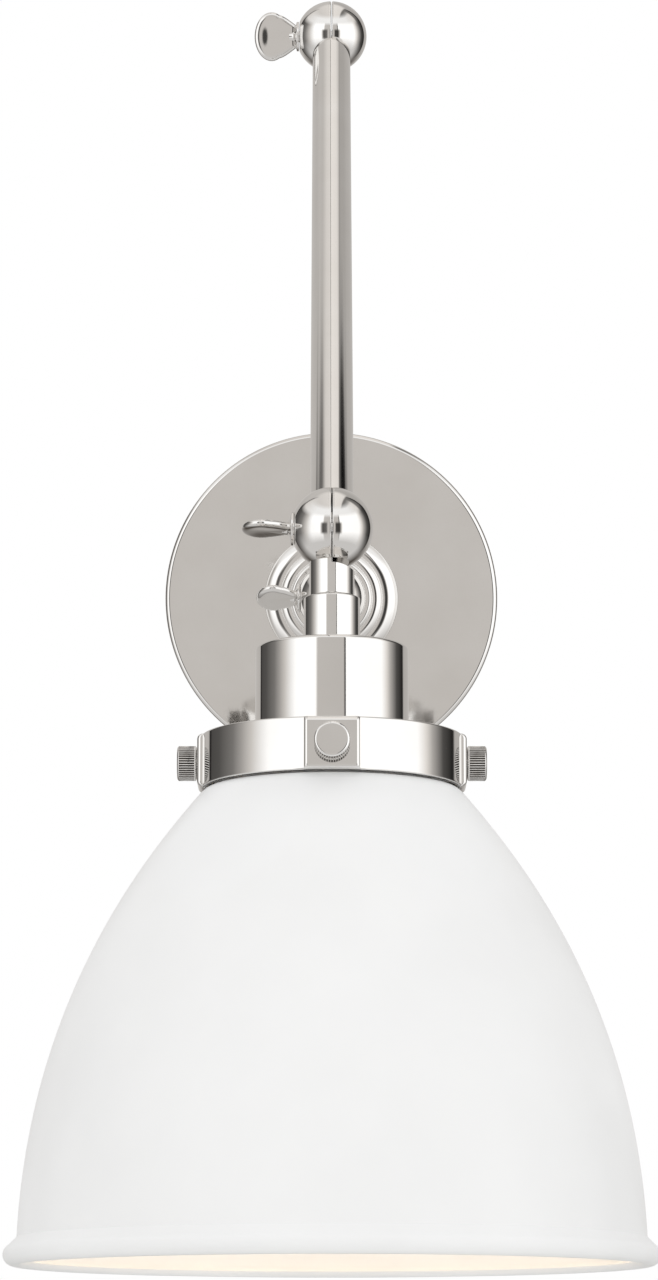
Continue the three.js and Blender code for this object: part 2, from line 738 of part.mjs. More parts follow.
const wall = frame(lamp, 0, 0, 90);
put(wall, 'mounting_strap', strapShape(), zinc());
put(wall, 'canopy', canopyShape(), nickel());
put(wall, 'canopy_set_screw_left', setScrewShape(LEFT), nickel());
put(wall, 'canopy_set_screw_right', setScrewShape(RIGHT), nickel());
put(wall, 'ground_screw', groundScrewShape(), groundGreen());
put(wall, 'wire_nut_line', wireNutShape(RIGHT), nutOrange());
put(wall, 'wire_nut_neutral', wireNutShape(LEFT), nutOrange());
put(wall, 'supply_lead_line', supplyLeadShape(RIGHT), insulationBlack());
put(wall, 'supply_lead_neutral', supplyLeadShape(LEFT), insulationWhite());

put(wall, 'hub', hubShape(), nickel());
put(wall, 'hub_nut', spindleNutShape(), brass());
put(wall, 'hub_washer', spindleWasherShape(), zinc());

const hubBall = frame(wall, 0, HUB_BALL_HEIGHT, 180);
const hubStem = [
  [STEM_RADIUS, HUB_BALL_HEIGHT - BOSS_TOP - FIT],
  [SPUD_RADIUS, HUB_BALL_HEIGHT - FLANGE_START - FIT],
];
put(hubBall, 'hub_knuckle', knuckleHalf(RIGHT, hubStem, SPUD_BORE, true), nickel());

const armStem = [[SPUD_RADIUS, SPUD_LENGTH]];
const rear = frame(wall, 0, HUB_BALL_HEIGHT, REAR_LEAN - 90);
const rearTop = frame(rear, 0, REAR_ARM, 180);
put(rear, 'rear_arm_lower_knuckle', knuckleHalf(LEFT, armStem, SPUD_BORE, false), nickel());
put(rear, 'rear_arm_tube', armTube(REAR_ARM, LEFT), nickel());
put(rear, 'rear_arm_lead', armLead(REAR_ARM), insulationBlack());
put(rearTop, 'rear_arm_upper_knuckle', knuckleHalf(LEFT, armStem, SPUD_BORE, false), nickel());

const front = frame(rear, 0, REAR_ARM, FRONT_LEAN - REAR_LEAN);
const frontEnd = frame(front, 0, FRONT_ARM, 180);
put(front, 'front_arm_upper_knuckle', knuckleHalf(RIGHT, armStem, SPUD_BORE, true), nickel());
put(front, 'front_arm_tube', armTube(FRONT_ARM, RIGHT), nickel());
put(front, 'front_arm_lead', armLead(FRONT_ARM), insulationBlack());
put(frontEnd, 'front_arm_lower_knuckle', knuckleHalf(RIGHT, armStem, SPUD_BORE, true), nickel());

const head = frame(front, 0, FRONT_ARM, HEAD_LEAN - FRONT_LEAN);
put(head, 'neck', neckShape(LEFT), nickel());
put(head, 'neck_nut', pinNutShape(), brass());
put(head, 'swivel_sleeve', sleeveShape(), nickel());
put(head, 'socket_cup', cupShape(), nickel());
put(head, 'lamp_socket', socketShape(), porcelain());
put(head, 'socket_ring', socketRingShape(), porcelain());
put(head, 'screw_shell', screwShellShape(), brass());
put(head, 'centre_contact', contactShape(), brass());
put(head, 'shade_fitter', fitterShape(), nickel());
put(head, 'shade', shadeShape(), whitePaint());
put(head, 'bulb_base', bulbBaseShape(), zinc());
put(head, 'bulb', bulbShape(), frostedGlass());
['right', 'front', 'left', 'rear'].forEach((place, index) => {
  put(head, `thumb_screw_${place}`, thumbScrewShape(index), nickel());
});

const knuckles = [
  ['base', frame(wall, 0, HUB_BALL_HEIGHT, HUB_WING_TURN - 90)],
  ['middle', frame(front, 0, 0, MID_WING_TURN - FRONT_LEAN)],
  ['head', frame(front, 0, FRONT_ARM, HEAD_WING_TURN - FRONT_LEAN)],
];
for (const [place, at] of knuckles) {
  put(at, `${place}_friction_disc`, frictionDisc(RIGHT), fibre());
  put(at, `${place}_threaded_insert`, threadedInsert(RIGHT), brass());
  put(at, `${place}_wing_screw`, wingScrew(LEFT), nickel());
}

export default lamp;
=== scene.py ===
"""Looks of the swing arm wall sconce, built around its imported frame.

Lengths are in millimetres inside the shape functions and in metres in the scene.
The wall face is the plane y = 0, the lamp reaches out along -Y, and +Z is up.
"""

import json
import math

import bmesh
import bpy
from mathutils import Matrix, Vector


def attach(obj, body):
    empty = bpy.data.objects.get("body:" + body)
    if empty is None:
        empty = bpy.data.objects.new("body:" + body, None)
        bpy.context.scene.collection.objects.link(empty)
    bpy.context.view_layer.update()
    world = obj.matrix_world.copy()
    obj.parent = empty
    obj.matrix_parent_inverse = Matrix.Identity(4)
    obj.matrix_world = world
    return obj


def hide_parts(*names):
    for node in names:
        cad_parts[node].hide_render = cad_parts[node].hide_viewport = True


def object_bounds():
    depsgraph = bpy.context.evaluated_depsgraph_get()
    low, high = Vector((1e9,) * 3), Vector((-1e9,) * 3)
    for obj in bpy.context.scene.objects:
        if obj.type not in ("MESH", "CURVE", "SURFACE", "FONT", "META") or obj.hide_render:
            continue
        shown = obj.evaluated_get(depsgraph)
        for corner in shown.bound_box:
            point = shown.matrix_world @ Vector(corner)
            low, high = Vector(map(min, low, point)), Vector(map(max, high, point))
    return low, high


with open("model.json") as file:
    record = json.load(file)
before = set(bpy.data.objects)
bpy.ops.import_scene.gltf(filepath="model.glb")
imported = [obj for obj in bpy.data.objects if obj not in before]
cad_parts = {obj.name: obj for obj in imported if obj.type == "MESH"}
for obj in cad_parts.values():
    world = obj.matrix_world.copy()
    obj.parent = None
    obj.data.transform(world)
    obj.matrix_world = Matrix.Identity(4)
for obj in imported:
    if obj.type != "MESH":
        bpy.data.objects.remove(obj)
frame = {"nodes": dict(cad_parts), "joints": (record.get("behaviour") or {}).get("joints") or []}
cad_low, cad_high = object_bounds()

# ---------------------------------------------------------------- sizes, in millimetres

MM = 0.001
FIT = 0.3

CANOPY_RADIUS = 69.85
CANOPY_DEPTH = 20
CANOPY_WALL = 1.5
CANOPY_EDGE = 2.1
SET_SCREW_HEIGHT = 8
SET_SCREW_RADIUS = 2

SPINDLE_RADIUS = 8
SPINDLE_BORE = 5
SPINDLE_TAIL = 8
# The hub's steps: radius, height, then the width and the drop of the curved edge.
HUB_STEPS = ((28, 4.5, 6.2, 4.2), (21.5, 4.5, 3.6, 2.6), (17, 3, 1.5, 1.5))
HUB_BALL_HEIGHT = 50

BALL_RADIUS = 14.15
BALL_SPLIT = 0.15  # from the split plane to either half
BALL_EDGE = 0.45
SWEEP_RADIUS = 15.3
STEM_RADIUS = 7.7
STEM_START = 6.5
SPUD_RADIUS = 6
SPUD_BORE = 3.4
SPUD_LENGTH = 32
DISC_POCKET = (5.9, 1.35)  # radius and depth
INSERT_POCKET = (4.2, 7.95)
TUBE_RADIUS = 7.5
TUBE_WALL = 1.2

WING_BORE = 2.6
WING_SEAT = 12.85
WING_SHANK = (2.2, -7.2)  # radius and where it ends
WING_FLANGE = (5.9, 1.5)  # radius and thickness
WING_NECK_HALF = 4.3
WING_SHOULDER = (4, 8.9)  # where the flanks end: short of the paddle's centre, and half their width
WING_CENTRE = 24.15
WING_HALF_LENGTH = 6.85
WING_HALF_WIDTH = 9.75
PADDLE_CENTRE_HEIGHT = 1.02  # half the thickness at the middle of the dish
PADDLE_DISH = ((0.8, 1.3), (0.6, 1.19), (0.4, 1.1), (0.2, 1.04))  # share of the way out, half thickness
PADDLE_EDGE = (  # inset from the outline, half thickness
    (0, 0), (0.05, 0.35), (0.22, 0.7), (0.6, 1.02), (1.15, 1.25), (1.8, 1.37), (2.4, 1.4), (2.8, 1.38)
)
WING_TURNS = {"base": 152, "middle": 96, "head": 168}

NECK_LENGTH = 23.9
PIN_RADIUS = 5
PIN_END = 48.3
SLEEVE = (9.6, 24.2, 41.2)  # radius, start and end along the lamp's axis
CUP = (26, 41.5, 72.1)  # the same three
CUP_WALL = 1.5

FITTER_RADIUS = 44.4
FITTER_WALL = 2.2
FITTER_START = 72.4
FITTER_END = 90.1
FITTER_TOP = 2
FITTER_HOLE = 19.3
PAD_WIDTH = 18.5
PAD_FACE = 45.3
PAD_BACK = 42.5
PAD_SIDE_EDGE = 1.3
PAD_END_EDGE = 1.7
THUMB_SHANK = 2
THUMB_START = 39.9
THUMB_SEAT = 45.6
THUMB_KNOB = (5.9, 6.6)  # radius and length
KNURL_COUNT = 44
KNURL_DEPTH = 0.46

SHADE_WALL = 1.2
SHADE_NECK_RADIUS = 39.6
SHADE_START = 77.7
SHADE_LIP = 1.8
SHADE_RADIUS = 104
SHADE_END = 249.3
BEAD_RADIUS = 3.6

BULB_TIP = 59.3
BULB_BASE_RADIUS = 13.2
BULB_BASE_LENGTH = 26
BULB_RADIUS = 30
BULB_LENGTH = 110
BULB_JOIN = -32  # degrees round the globe to where the neck meets it

LEFT, RIGHT = -1, 1
SHARP_ANGLE = 32  # degrees between faces that are shaded as an edge

# ---------------------------------------------------------------- light and view

BULB_GLOW = 5.6
MATT_SHARE = 0.85  # of the even light in what falls on matt surfaces
FLOOR_DROP = 0.9  # metres below the lamp
FLOOR_RADIUS = 2.6  # metres
CAMERA_PLACE = (-0.001, -1.744, -0.0174)
CAMERA_LENS = 115.3
CAMERA_SENSOR = 36
CAMERA_NEAR = 0.05

# ---------------------------------------------------------------- material nodes

MIDDLE = (0.3, 0.7)  # the range in which most noise values lie


def add(tree, kind, inputs=None, **settings):
    """A node with its settings made and its inputs filled or linked."""
    node = tree.nodes.new(kind)
    for key, value in settings.items():
        setattr(node, key, value)
    for key, value in (inputs or {}).items():
        if isinstance(value, bpy.types.NodeSocket):
            tree.links.new(value, node.inputs[key])
        else:
            node.inputs[key].default_value = value
    return node


def new_material(name):
    material = bpy.data.materials.new(name)
    material.use_nodes = True
    tree = material.node_tree
    return material, tree, tree.nodes["Principled BSDF"]


def noise(tree, scale, detail=3.0, stretch=(1, 1, 1)):
    """A noise value over the object, scale in features per metre."""
    place = add(tree, "ShaderNodeTexCoord").outputs["Object"]
    mapped = add(tree, "ShaderNodeMapping", {"Vector": place, "Scale": stretch})
    inputs = {"Vector": mapped.outputs["Vector"], "Scale": scale, "Detail": detail}
    return add(tree, "ShaderNodeTexNoise", inputs).outputs["Fac"]


def spread(tree, value, low, high, start=MIDDLE[0], end=MIDDLE[1]):
    """The part of a value between start and end, spread from low to high."""
    inputs = {"Value": value, "From Min": start, "From Max": end, "To Min": low, "To Max": high}
    return add(tree, "ShaderNodeMapRange", inputs).outputs["Result"]


def blend_colours(tree, value, low, high):
    ramp = add(tree, "ShaderNodeValToRGB", {"Fac": value})
    for stop, position, colour in zip(ramp.color_ramp.elements, MIDDLE, (low, high)):
        stop.position = position
        stop.color = (*colour, 1)
    return ramp.outputs["Color"]


def bump(tree, value, strength, distance):
    inputs = {"Height": value, "Strength": strength, "Distance": distance}
    return add(tree, "ShaderNodeBump", inputs).outputs["Normal"]


def finish_surface(name, low, high, rough, metallic=0.0, cloud=40, grain=(900, 0.1, 0.0002)):
    """Colour and roughness that drift over the surface, with a fine grain in relief."""
    material, tree, shader = new_material(name)
    drift = noise(tree, cloud, 5)
    fine = noise(tree, grain[0], 4)
    tree.links.new(blend_colours(tree, drift, low, high), shader.inputs["Base Color"])
    tree.links.new(spread(tree, drift, *rough), shader.inputs["Roughness"])
    tree.links.new(bump(tree, fine, grain[1], grain[2]), shader.inputs["Normal"])
    shader.inputs["Metallic"].default_value = metallic
    return material, tree, shader


def polished_nickel():
    """Mirror nickel: a warm grey plate with faint handling marks and polishing lines."""
    material, tree, shader = new_material("polished_nickel")
    haze = noise(tree, 38, 4)
    lines = noise(tree, 700, 2, (1, 9, 9))
    tint = blend_colours(tree, haze, (0.765, 0.75, 0.73), (0.81, 0.80, 0.785))
    tree.links.new(tint, shader.inputs["Base Color"])
    marks = add(tree, "ShaderNodeMath", {0: haze, 1: lines}, operation="MULTIPLY").outputs[0]
    tree.links.new(spread(tree, marks, 0.02, 0.075, 0.12, 0.4), shader.inputs["Roughness"])
    tree.links.new(bump(tree, lines, 0.012, 0.00005), shader.inputs["Normal"])
    shader.inputs["Metallic"].default_value = 1.0
    return material


def satin_white():
    material, tree, shader = finish_surface(
        "white_paint",
        (0.845, 0.845, 0.842),
        (0.875, 0.875, 0.872),
        (0.42, 0.55),
        cloud=22,
        grain=(1500, 0.12, 0.00012),
    )
    shader.inputs["Specular IOR Level"].default_value = 0.25
    return material


def frosted_glass():
    """An etched bulb, alight: hottest where it is seen square on."""
    material, tree, shader = finish_surface(
        "frosted_glass", (0.06, 0.05, 0.04), (0.09, 0.08, 0.07), (0.35, 0.5), grain=(2500, 0.1, 0.0001)
    )
    facing = add(tree, "ShaderNodeLayerWeight", {"Blend": 0.4}).outputs["Facing"]
    glow = blend_colours(tree, facing, (1.0, 0.80, 0.56), (0.20, 0.105, 0.045))
    tree.links.new(glow, shader.inputs["Emission Color"])
    shader.inputs["Emission Strength"].default_value = BULB_GLOW
    return material


NICKEL = polished_nickel()
WHITE = satin_white()
GLASS = frosted_glass()
# Painted shade: the faces down in the knurl's grooves get a dark nickel colour that stands in for the shade
# and dark reflections there. Their higher roughness is the metal's own.
KNURL_PAINTED_SHADE = finish_surface(
    "knurl_valley_painted_shade", (0.15, 0.14, 0.13), (0.26, 0.25, 0.24), (0.22, 0.4), 1.0, 150, (1800, 0.2, 0.0001)
)[0]
ZINC = finish_surface(
    "zinc_plate", (0.48, 0.49, 0.50), (0.66, 0.67, 0.68), (0.24, 0.42), 1.0, 120, (2200, 0.15, 0.0001)
)[0]
BRASS = finish_surface(
    "brass", (0.60, 0.43, 0.17), (0.76, 0.57, 0.27), (0.16, 0.34), 1.0, 90, (1600, 0.1, 0.0001)
)[0]
GREEN = finish_surface(
    "green_screw", (0.03, 0.20, 0.07), (0.06, 0.30, 0.12), (0.28, 0.45), 0.6, 200, (2500, 0.12, 0.0001)
)[0]
ORANGE = finish_surface(
    "wire_nut_plastic", (0.62, 0.19, 0.03), (0.74, 0.26, 0.05), (0.38, 0.52), 0.0, 160, (1800, 0.2, 0.0001)
)[0]
SHEATH = (0.0, 300, (1400, 0.2, 0.0001))  # metallic, cloud and grain of a wire's insulation
BLACK = finish_surface(
    "black_insulation", (0.010, 0.010, 0.011), (0.022, 0.022, 0.024), (0.4, 0.58), *SHEATH
)[0]
PALE = finish_surface("white_insulation", (0.66, 0.65, 0.62), (0.78, 0.77, 0.74), (0.4, 0.58), *SHEATH)[0]
PORCELAIN = finish_surface(
    "porcelain", (0.78, 0.75, 0.68), (0.86, 0.84, 0.78), (0.10, 0.22), 0.0, 60, (400, 0.05, 0.0002)
)[0]
FIBRE = finish_surface(
    "fibre", (0.022, 0.020, 0.018), (0.06, 0.055, 0.048), (0.7, 0.92), 0.0, 500, (2600, 0.5, 0.0002)
)[0]

# ---------------------------------------------------------------- shape helpers


def place(origin, direction):
    """The frame at origin whose z runs along direction and whose x is the row's x."""
    z = Vector(direction).normalized()
    x = Vector((1, 0, 0))
    y = z.cross(x)
    turned = Matrix((x, y, z)).transposed().to_4x4()
    return Matrix.Translation(origin) @ turned


def to_side(side):
    return Matrix.Rotation(math.radians(90 * side), 4, "Y")


def rounded(corners, closed=False, steps=6):
    """Profile points from corners (radius, z) or (radius, z, fillet)."""
    points = []
    count = len(corners)
    for index, corner in enumerate(corners):
        here = Vector(corner[:2])
        inside = closed or 0 < index < count - 1
        if len(corner) < 3 or not inside:
            points.append((here.x, here.y))
            continue
        before = Vector(corners[index - 1][:2]) - here
        after = Vector(corners[(index + 1) % count][:2]) - here
        half = before.angle(after) / 2
        reach = min(corner[2] / math.tan(half), 0.48 * before.length, 0.48 * after.length)
        size = reach * math.tan(half)
        first, last = before.normalized(), after.normalized()
        centre = here + (first + last).normalized() * (size / math.sin(half))
        start = here + first * reach - centre
        end = here + last * reach - centre
        sweep = start.angle(end)
        for step in range(steps + 1):
            share = step / steps
            mixed = start * math.sin((1 - share) * sweep) + end * math.sin(share * sweep)
            spot = centre + mixed.normalized() * size
            points.append((spot.x, spot.y))
    return points


def arc(radius, z, size, start, end, steps):
    """Points of an arc between two angles, in degrees from the radius direction."""
    angles = [math.radians(start + (end - start) * i / steps) for i in range(steps + 1)]
    return [(radius + size * math.cos(a), z + size * math.sin(a)) for a in angles]


def bezier(p0, p1, p2, p3, steps):
    points = []
    for i in range(steps + 1):
        t = i / steps
        u = 1 - t
        shares = (u**3, 3 * u * u * t, 3 * u * t * t, t**3)
        points.append(tuple(sum(s * p[k] for s, p in zip(shares, (p0, p1, p2, p3))) for k in (0, 1)))
    return points


def stitch(rings, closed):
    """Faces between rings of vertex numbers; a ring of one vertex is a pole."""
    faces = []
    pairs = list(zip(rings, rings[1:]))
    if closed:
        pairs.append((rings[-1], rings[0]))
    for one, two in pairs:
        sides = max(len(one), len(two))
        if sides == 1:
            continue
        for i in range(sides):
            j = (i + 1) % sides
            if len(one) == 1:
                faces.append((one[0], two[i], two[j]))
            elif len(two) == 1:
                faces.append((one[i], one[j], two[0]))
            else:
                faces.append((one[i], one[j], two[j], two[i]))
    return faces


def lathe(profile, sides=96, closed=False, shape=None):
    """(vertices, faces) of a profile turned about z. shape(angle, radius, z) may change a radius."""
    vertices, rings = [], []
    for radius, z in profile:
        start = len(vertices)
        if radius < 1e-6:
            vertices.append((0, 0, z))
        else:
            for i in range(sides):
                angle = 2 * math.pi * i / sides
                size = shape(angle, radius, z) if shape else radius
                vertices.append((size * math.cos(angle), size * math.sin(angle), z))
        rings.append(list(range(start, len(vertices))))
    return vertices, stitch(rings, closed)


def moved(part, matrix):
    return [tuple(matrix @ Vector(v)) for v in part[0]], part[1]


def build(name, parts, matrix, material, sharp=SHARP_ANGLE):
    """One object from several (vertices, faces) shells, placed by matrix."""
    vertices, faces = [], []
    for part_vertices, part_faces in parts:
        shift = len(vertices)
        vertices.extend(part_vertices)
        faces.extend(tuple(i + shift for i in face) for face in part_faces)
    mesh = bpy.data.meshes.new(name)
    mesh.from_pydata(vertices, [], faces)
    mesh.transform(matrix @ Matrix.Scale(MM, 4))
    work = bmesh.new()
    work.from_mesh(mesh)
    bmesh.ops.remove_doubles(work, verts=work.verts, dist=1e-7)
    bmesh.ops.recalc_face_normals(work, faces=work.faces)
    work.to_mesh(mesh)
    work.free()
    mesh.polygons.foreach_set("use_smooth", [True] * len(mesh.polygons))
    mesh.set_sharp_from_angle(angle=math.radians(sharp))
    mesh.materials.append(material)
    piece = bpy.data.objects.new(name, mesh)
    bpy.context.scene.collection.objects.link(piece)
    return piece


def even_shading(piece):
    """Keeps flats flat beside their rounded edges."""
    even = piece.modifiers.new("even_shading", "WEIGHTED_NORMAL")
    even.keep_sharp = True
    even.weight = 80
    return piece


def carve(piece, *tools):
    """Cuts each tool from the piece, then removes the tools."""
    for tool in tools:
        change = piece.modifiers.new("cut", "BOOLEAN")
        change.operation = "DIFFERENCE"
        change.solver = "EXACT"
        change.object = tool
    bpy.context.view_layer.update()
    settled = piece.evaluated_get(bpy.context.evaluated_depsgraph_get())
    mesh = bpy.data.meshes.new_from_object(settled)
    piece.modifiers.clear()
    piece.data = mesh
    mesh.polygons.foreach_set("use_smooth", [True] * len(mesh.polygons))
    mesh.set_sharp_from_angle(angle=math.radians(SHARP_ANGLE))
    for tool in tools:
        bpy.data.objects.remove(tool)
    return piece


def stand_for(piece, node, body):
    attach(even_shading(piece), body)
    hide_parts(node)
    return piece


# ---------------------------------------------------------------- frames along the lamp

joints = {joint["name"]: joint for joint in frame["joints"]}
base = Vector(joints["base_knuckle"]["pos_m"])
elbow = Vector(joints["middle_knuckle"]["pos_m"])
wrist = Vector(joints["head_knuckle"]["pos_m"])
lamp_axis = Vector(joints["head_swivel"]["axis"])

WALL = place((0, 0, 0), (0, -1, 0))
HUB = place(base, (0, 1, 0))
REAR = place(base, elbow - base)
REAR_TOP = place(elbow, base - elbow)
FRONT = place(elbow, wrist - elbow)
FRONT_END = place(wrist, elbow - wrist)
HEAD = place(wrist, lamp_axis)
REAR_LENGTH = (elbow - base).length / MM
FRONT_LENGTH = (wrist - elbow).length / MM

# ---------------------------------------------------------------- wall pieces


def make_canopy():
    inner = CANOPY_RADIUS - CANOPY_WALL
    profile = rounded(
        [
            (SPINDLE_RADIUS + FIT, CANOPY_DEPTH - CANOPY_WALL),
            (inner, CANOPY_DEPTH - CANOPY_WALL, CANOPY_EDGE - CANOPY_WALL),
            (inner, 0, 0.3),
            (CANOPY_RADIUS, 0, 0.5),
            (CANOPY_RADIUS, CANOPY_DEPTH, CANOPY_EDGE),
            (SPINDLE_RADIUS + FIT, CANOPY_DEPTH, 0.3),
        ],
        True,
        10,
    )
    piece = build("canopy_shell", [lathe(profile, 192, True)], WALL, NICKEL)
    drills = []
    for side in (LEFT, RIGHT):
        spot = Matrix.Translation((side * CANOPY_RADIUS, 0, SET_SCREW_HEIGHT)) @ to_side(RIGHT)
        rod = lathe([(0, -4), (SET_SCREW_RADIUS + FIT, -4), (SET_SCREW_RADIUS + FIT, 4), (0, 4)], 32)
        drills.append(build("drill", [moved(rod, spot)], WALL, NICKEL))
    carve(piece, *drills)
    stand_for(piece, "canopy", "canopy_set")


def make_hub():
    start = CANOPY_DEPTH + FIT
    corners = [(SPINDLE_BORE, SPINDLE_TAIL), (SPINDLE_RADIUS, SPINDLE_TAIL, 0.6)]
    corners += [(SPINDLE_RADIUS, start), (HUB_STEPS[0][0], start, 0.3)]
    top = start
    for radius, height, wide, drop in HUB_STEPS:
        if top > start:
            corners.append((radius, top, 0.4))
        top += height
        turns = [math.radians(7.5 * step) for step in range(13)]
        corners += [(radius - wide * (1 - math.cos(t)), top - drop * (1 - math.sin(t))) for t in turns]
    socket = SPUD_RADIUS + FIT
    corners += [(socket, top, 0.3), (socket, start), (SPINDLE_BORE, start)]
    piece = build("hub_turning", [lathe(rounded(corners, True, 12), 160, True)], WALL, NICKEL)
    stand_for(piece, "hub", "hub_set")
    return top


BOSS_TOP = make_hub()
make_canopy()

# ---------------------------------------------------------------- ball knuckles


def half_ball(side, threaded):
    rim = math.degrees(math.asin(BALL_SPLIT / BALL_RADIUS))
    edge = math.degrees(BALL_EDGE / BALL_RADIUS)
    bend = [(BALL_RADIUS - BALL_EDGE, BALL_SPLIT), (BALL_RADIUS - 0.13, BALL_SPLIT + 0.13)]
    if threaded:
        pocket, depth = DISC_POCKET
        bore, end = INSERT_POCKET
        profile = [(0, end), (bore, end), (bore, depth), (pocket, depth), (pocket, BALL_SPLIT)]
        profile += bend + arc(0, 0, BALL_RADIUS, rim + edge, 90, 40)
        profile[-1] = (0, BALL_RADIUS)
        return moved(lathe(profile, 128), to_side(side))
    seat = math.degrees(math.asin(WING_SEAT / BALL_RADIUS))
    profile = [(WING_BORE, BALL_SPLIT)] + bend
    profile += arc(0, 0, BALL_RADIUS, rim + edge, seat, 36) + [(WING_BORE, WING_SEAT)]
    return moved(lathe(profile, 128, True), to_side(side))


def sweep_tool(side, matrix, z=0):
    """The room that the half across the split needs."""
    reach = 2 * BALL_RADIUS
    rod = lathe([(0, -BALL_SPLIT), (SWEEP_RADIUS, -BALL_SPLIT), (SWEEP_RADIUS, reach), (0, reach)], 128)
    return build("sweep", [moved(rod, Matrix.Translation((0, 0, z)) @ to_side(-side))], matrix, NICKEL)


def make_knuckle(name, side, matrix, stem, threaded, node, body):
    """A half ball with its stem, each stem step (radius, end), the stem bored for the wires."""
    outside = [(SPUD_BORE, STEM_START)]
    start = STEM_START
    for radius, end in stem:
        outside += [(radius, start, 0.2), (radius, end, 0.5)]
        start = end
    outside.append((SPUD_BORE if stem[-1][0] > SPUD_BORE + 0.5 else SPUD_BORE - 1, start))
    piece = build(name, [lathe(rounded(outside, True, 4), 96, True)], matrix, NICKEL)
    carve(piece, sweep_tool(side, matrix))
    dome = build("dome", [half_ball(side, threaded)], matrix, NICKEL)
    work = bmesh.new()
    work.from_mesh(piece.data)
    work.from_mesh(dome.data)
    work.to_mesh(piece.data)
    work.free()
    bpy.data.objects.remove(dome)
    piece.data.set_sharp_from_angle(angle=math.radians(SHARP_ANGLE))
    return stand_for(piece, node, body)


SPUD = [(SPUD_RADIUS, SPUD_LENGTH)]
HUB_STEM = [
    (STEM_RADIUS, HUB_BALL_HEIGHT - BOSS_TOP - FIT),
    (SPUD_RADIUS, HUB_BALL_HEIGHT - CANOPY_DEPTH - 2 * FIT),
]
NECK_STEM = [(STEM_RADIUS, NECK_LENGTH), (PIN_RADIUS, PIN_END)]
KNUCKLES = (
    ("hub_ball", RIGHT, HUB, HUB_STEM, True, "hub_knuckle", "hub_set"),
    ("rear_arm_lower_ball", LEFT, REAR, SPUD, False, "rear_arm_lower_knuckle", "rear_arm"),
    ("rear_arm_upper_ball", LEFT, REAR_TOP, SPUD, False, "rear_arm_upper_knuckle", "rear_arm"),
    ("front_arm_upper_ball", RIGHT, FRONT, SPUD, True, "front_arm_upper_knuckle", "front_arm"),
    ("front_arm_lower_ball", RIGHT, FRONT_END, SPUD, True, "front_arm_lower_knuckle", "front_arm"),
    ("neck_ball", LEFT, HEAD, NECK_STEM, False, "neck", "neck_set"),
)
for entry in KNUCKLES:
    make_knuckle(*entry)


def make_tube(name, length, side, matrix, node, body):
    bore = TUBE_RADIUS - TUBE_WALL
    start = math.sqrt((BALL_RADIUS + FIT) ** 2 - TUBE_RADIUS**2)
    ends = (start, length - start)
    corners = [(bore, ends[0]), (TUBE_RADIUS, ends[0], 0.15), (TUBE_RADIUS, ends[1], 0.15), (bore, ends[1])]
    piece = build(name, [lathe(rounded(corners, True, 3), 128, True)], matrix, NICKEL)
    carve(piece, sweep_tool(side, matrix), sweep_tool(side, matrix, length))
    stand_for(piece, node, body)


make_tube("rear_arm_pipe", REAR_LENGTH, LEFT, REAR, "rear_arm_tube", "rear_arm")
make_tube("front_arm_pipe", FRONT_LENGTH, RIGHT, FRONT, "front_arm_tube", "front_arm")

# ---------------------------------------------------------------- wing screws


def paddle():
    """A spade-shaped flat across x, along z: rounded at its edge and slightly dished."""
    outline = []
    sides = 144
    reach = WING_CENTRE - WING_SEAT - FIT - WING_FLANGE[1] / 2
    shoulder, half_shoulder = WING_SHOULDER
    slope = (half_shoulder - WING_NECK_HALF) / (reach - shoulder)
    for i in range(sides):
        angle = 2 * math.pi * i / sides
        along, across = math.cos(angle), math.sin(angle)
        size = math.hypot(along / WING_HALF_LENGTH, across / WING_HALF_WIDTH) ** -1
        if along < 0:
            flank = (WING_NECK_HALF + slope * reach) / (abs(across) - slope * along)
            waist = half_shoulder / max(abs(across), 1e-6)
            flank = (flank**-14 + waist**-14) ** (-1 / 14)
            size = min(max(size, flank), reach / -along)
        outline.append((along, across, size))
    dish_inset = PADDLE_EDGE[-1][0]
    vertices, rings = [], []

    def ring(inset, share, height):
        start = len(vertices)
        for along, across, size in outline:
            distance = (size - inset) * share
            vertices.append((height, across * distance, WING_CENTRE + along * distance))
        rings.append(list(range(start, len(vertices))))

    vertices.append((PADDLE_CENTRE_HEIGHT, 0, WING_CENTRE))
    rings.append([0])
    for share, height in reversed(PADDLE_DISH):
        ring(dish_inset, share, height)
    for inset, height in reversed(PADDLE_EDGE):
        ring(inset, 1, height)
    for inset, height in PADDLE_EDGE[1:]:
        ring(inset, 1, -height)
    for share, height in PADDLE_DISH:
        ring(dish_inset, share, -height)
    vertices.append((-PADDLE_CENTRE_HEIGHT, 0, WING_CENTRE))
    rings.append([len(vertices) - 1])
    return vertices, stitch(rings, False)


def make_wing_screw(place_name, centre):
    turn = math.radians(WING_TURNS[place_name])
    matrix = place(centre, (0, -math.sin(turn), math.cos(turn)))
    radius, tail = WING_SHANK
    flange, thickness = WING_FLANGE
    seat = WING_SEAT + FIT
    corners = [
        (0, tail),
        (radius, tail, 0.5),
        (radius, seat),
        (flange, seat, 0.2),
        (flange, seat + 0.55 * thickness, 0.3),
        (0.6 * flange, seat + thickness, 1.5),
        (radius, seat + thickness + 0.5, 1.2),
        (0.3 * flange, seat + thickness + 2.4),
        (0, seat + thickness + 2.4),
    ]
    screw = lathe(rounded(corners, False, 6), 64)
    shells = [moved(screw, to_side(LEFT)), moved(paddle(), to_side(LEFT))]
    piece = build(f"{place_name}_wing", shells, matrix, NICKEL)
    stand_for(piece, f"{place_name}_wing_screw", f"{place_name}_wing")


for place_name, centre in (("base", base), ("middle", elbow), ("head", wrist)):
    make_wing_screw(place_name, centre)

# ---------------------------------------------------------------- head


def make_ring(name, corners, node, body, sides=128):
    piece = build(name, [lathe(rounded(corners, True, 8), sides, True)], HEAD, NICKEL)
    stand_for(piece, node, body)


